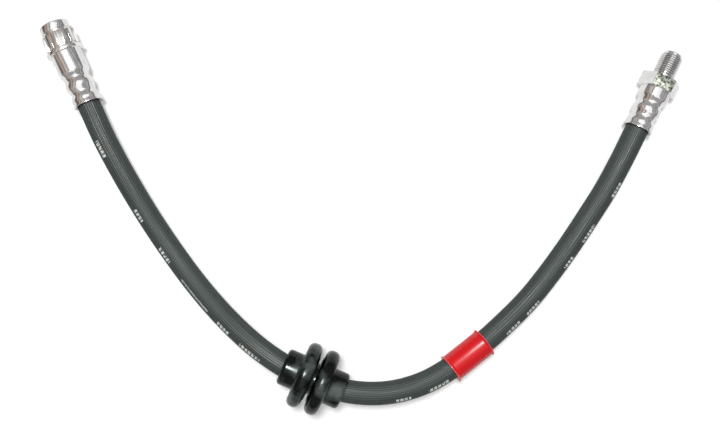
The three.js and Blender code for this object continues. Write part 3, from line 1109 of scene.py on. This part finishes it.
# %% Sleeve plastic
RED = (0.64, 0.001, 0.006, 1)
DEEP_RED = (0.48, 0.001, 0.003, 1)
RIM_RED = (0.80, 0.16, 0.18, 1)
RIM_SLACK = 0.2
plastic, shader, start = new_finish("marker_plastic", {"Specular IOR Level": 0.48})
place = own_place(start)
flow = grain(start, place, 150.0, detail=3.0)
scuffs = grain(start, place, 1800.0, detail=3.0)
flow.mixed(RED, DEEP_RED).into(shader, "Base Color")
(0.25 + scuffs * 0.03).into(shader, "Roughness")
bumped(start, shader, scuffs, 0.03, 0.00005)

rim_plastic, shader, start = new_finish("marker_rim", {"Roughness": 0.3})
place = own_place(start)
grain(start, place, 400.0).mixed(RIM_RED, RED).into(shader, "Base Color")
wear(sleeve_body, plastic, rim_plastic)
for polygon in sleeve_body.data.polygons:
    depth, from_axis = depth_and_radius(polygon.center, sleeve_point, sleeve_heading)
    if abs(depth) > SLEEVE_END - RIM_WIDTH - RIM_SLACK and from_axis > SLEEVE_RADIUS:
        polygon.material_index = 1
print("sleeve plastic nodes:", len(plastic.node_tree.nodes))

# %% [markdown]
# ## Bench, lamp and room
# The photograph has a white bench. Its whiteness comes from a share of plain white, and not
# from more light, so the shadow stays. Only the camera sees that share as white. Reflections
# see it as grey, so that the lower sides of the steel stay darker than the bench. Far from the
# hose, where no shadow falls, the share grows and evens out the bench. One soft lamp hangs
# above, a little towards the upper left. What the metal mirrors is listed: a bright
# strip overhead, striped walls left and right of it, tan on the left and grey on the right,
# and a darker band low down and at both ends. Only reflections see it.

# %% Bench
BENCH_SIZE = 6
BENCH_COLOUR = (0.95, 0.95, 0.945, 1)
WHITE_SHARE = 0.30
WHITE_FROM = 0.25
WHITE_TO = 0.80
MIRRORED_GREY = (0.40, 0.40, 0.42, 1)
bpy.ops.mesh.primitive_plane_add(size=BENCH_SIZE, location=(0, 0, 0))
bench = bpy.context.object
bench.name = "bench"
surface, shader, start = new_finish("bench_white", {
    "Base Color": BENCH_COLOUR,
    "Roughness": 0.9,
    "Specular IOR Level": 0.2,
})
ray = start.node("ShaderNodeLightPath")
from_camera = Strand(ray.tree, ray.socket.node.outputs["Is Camera Ray"])
from_gloss = Strand(ray.tree, ray.socket.node.outputs["Is Glossy Ray"])
seen = from_camera.maths("MAXIMUM", from_camera, from_gloss)
shown = from_gloss.mixed((1, 1, 1, 1), MIRRORED_GREY)
white = start.node("ShaderNodeEmission", None, {"Color": shown, "Strength": 1.0})
output = surface.node_tree.nodes["Material Output"]
lit = Strand(surface.node_tree, shader.outputs[0])
place = own_place(start)
reach = start.node("ShaderNodeVectorMath", {"operation": "LENGTH"}, {0: place}, output=1)
share = start.node(
    "ShaderNodeMapRange", None,
    {0: reach, 1: WHITE_FROM, 2: WHITE_TO, 3: WHITE_SHARE, 4: 1.0},
)
start.node("ShaderNodeMixShader", None, {0: seen * share, 1: lit, 2: white}).into(
    output, "Surface"
)
wear(bench, surface)
print("bench size, m:", BENCH_SIZE)

# %% Lamp
LAMP_POWER = 13.6
LAMP_SIZE = 0.22
LAMP_DISTANCE = 1.2
LAMP_TOWARDS = Vector((-0.06, 0.20, 1.0)).normalized()
lamp_place = LAMP_TOWARDS * LAMP_DISTANCE
lamp_turn = LAMP_TOWARDS.to_track_quat("Z", "Y").to_euler()
bpy.ops.object.light_add(type="AREA", location=lamp_place, rotation=lamp_turn)
lamp = bpy.context.object
lamp.data.shape = "SQUARE"
lamp.data.size = LAMP_SIZE
lamp.data.energy = LAMP_POWER
print("lamp at, m:", [round(value, 3) for value in lamp_place])

# %% Room
ROOM_LIGHT = 0.30
# Each row is a place across the room, from 0 at the left to 1 at the right, and the red,
# green and blue that are mirrored there.
WALLS = (
    (0.03, 0.12, 0.11, 0.11),
    (0.09, 0.58, 0.49, 0.41),
    (0.13, 0.20, 0.15, 0.13),
    (0.17, 0.55, 0.46, 0.39),
    (0.26, 0.70, 0.66, 0.62),
    (0.30, 0.15, 0.14, 0.14),
    (0.35, 0.70, 0.70, 0.71),
    (0.41, 1.15, 1.15, 1.15),
    (0.73, 1.15, 1.15, 1.15),
    (0.77, 0.09, 0.09, 0.10),
    (0.80, 0.78, 0.78, 0.80),
    (0.84, 0.12, 0.12, 0.13),
    (0.88, 0.60, 0.60, 0.62),
    (0.92, 0.20, 0.20, 0.21),
    (0.96, 0.50, 0.50, 0.51),
)
LOW_BAND = (0.20, 0.20, 0.20, 1)
FAR_END = (0.40, 0.38, 0.38, 1)
END_EDGE = (0.50, 0.72)
LOW_EDGE = (0.10, 0.25)
room = bpy.data.worlds.new("room")
room.use_nodes = True
bpy.context.scene.world = room
room.node_tree.nodes.clear()
start = Strand(room.node_tree)
towards = start.node("ShaderNodeTexCoord", None, None, output=0)
parts = start.node("ShaderNodeSeparateXYZ", None, {0: towards})
right, back, height = (Strand(parts.tree, out) for out in parts.socket.node.outputs)


def past(value, begin, end):
    """0 before a soft edge and 1 after it."""
    return value.node(
        "ShaderNodeMapRange", {"interpolation_type": "SMOOTHSTEP"}, {0: value, 1: begin, 2: end}
    )


stops = [(position, (red, green, blue, 1)) for position, red, green, blue in WALLS]
reflected = start.node(
    "ShaderNodeValToRGB", {"ramp": "LINEAR", "stops": stops}, {0: right * 0.5 + 0.5}
)
ends = past(back.maths("ABSOLUTE", back), *END_EDGE)
reflected = ends.mixed(reflected, FAR_END)
reflected = past(height, *LOW_EDGE).mixed(LOW_BAND, reflected)
ray = start.node("ShaderNodeLightPath")
from_camera = Strand(ray.tree, ray.socket.node.outputs["Is Camera Ray"])
from_gloss = Strand(ray.tree, ray.socket.node.outputs["Is Glossy Ray"])
plain = (ROOM_LIGHT, ROOM_LIGHT, ROOM_LIGHT, 1)
colour = from_gloss.mixed(plain, reflected)
colour = from_camera.mixed(colour, (1, 1, 1, 1))
background = start.node("ShaderNodeBackground", None, {0: colour})
world_output = room.node_tree.nodes.new("ShaderNodeOutputWorld")
background.into(world_output, "Surface")
print("room nodes:", len(room.node_tree.nodes))

# %% [markdown]
# ## Tying the pieces to the frame
# Each row lists a piece, the CAD node that it stands for and the slot of its finish. Every
# piece rides on the part's one body, and the CAD node that it replaces is hidden.

# %% Pieces and nodes
stands_for = (
    (hose_cover, "hose", "hose_rubber"),
    (female_body, "female_fitting", "plated_steel"),
    (male_body, "male_fitting", "plated_steel"),
    (grommet_body, "grommet", "grommet_rubber"),
    (sleeve_body, "marker_sleeve", "marker_plastic"),
)
for piece, node, slot in stands_for:
    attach(piece, "root")
    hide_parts(node)
print("pieces:", [piece.name for piece, node, slot in stands_for])
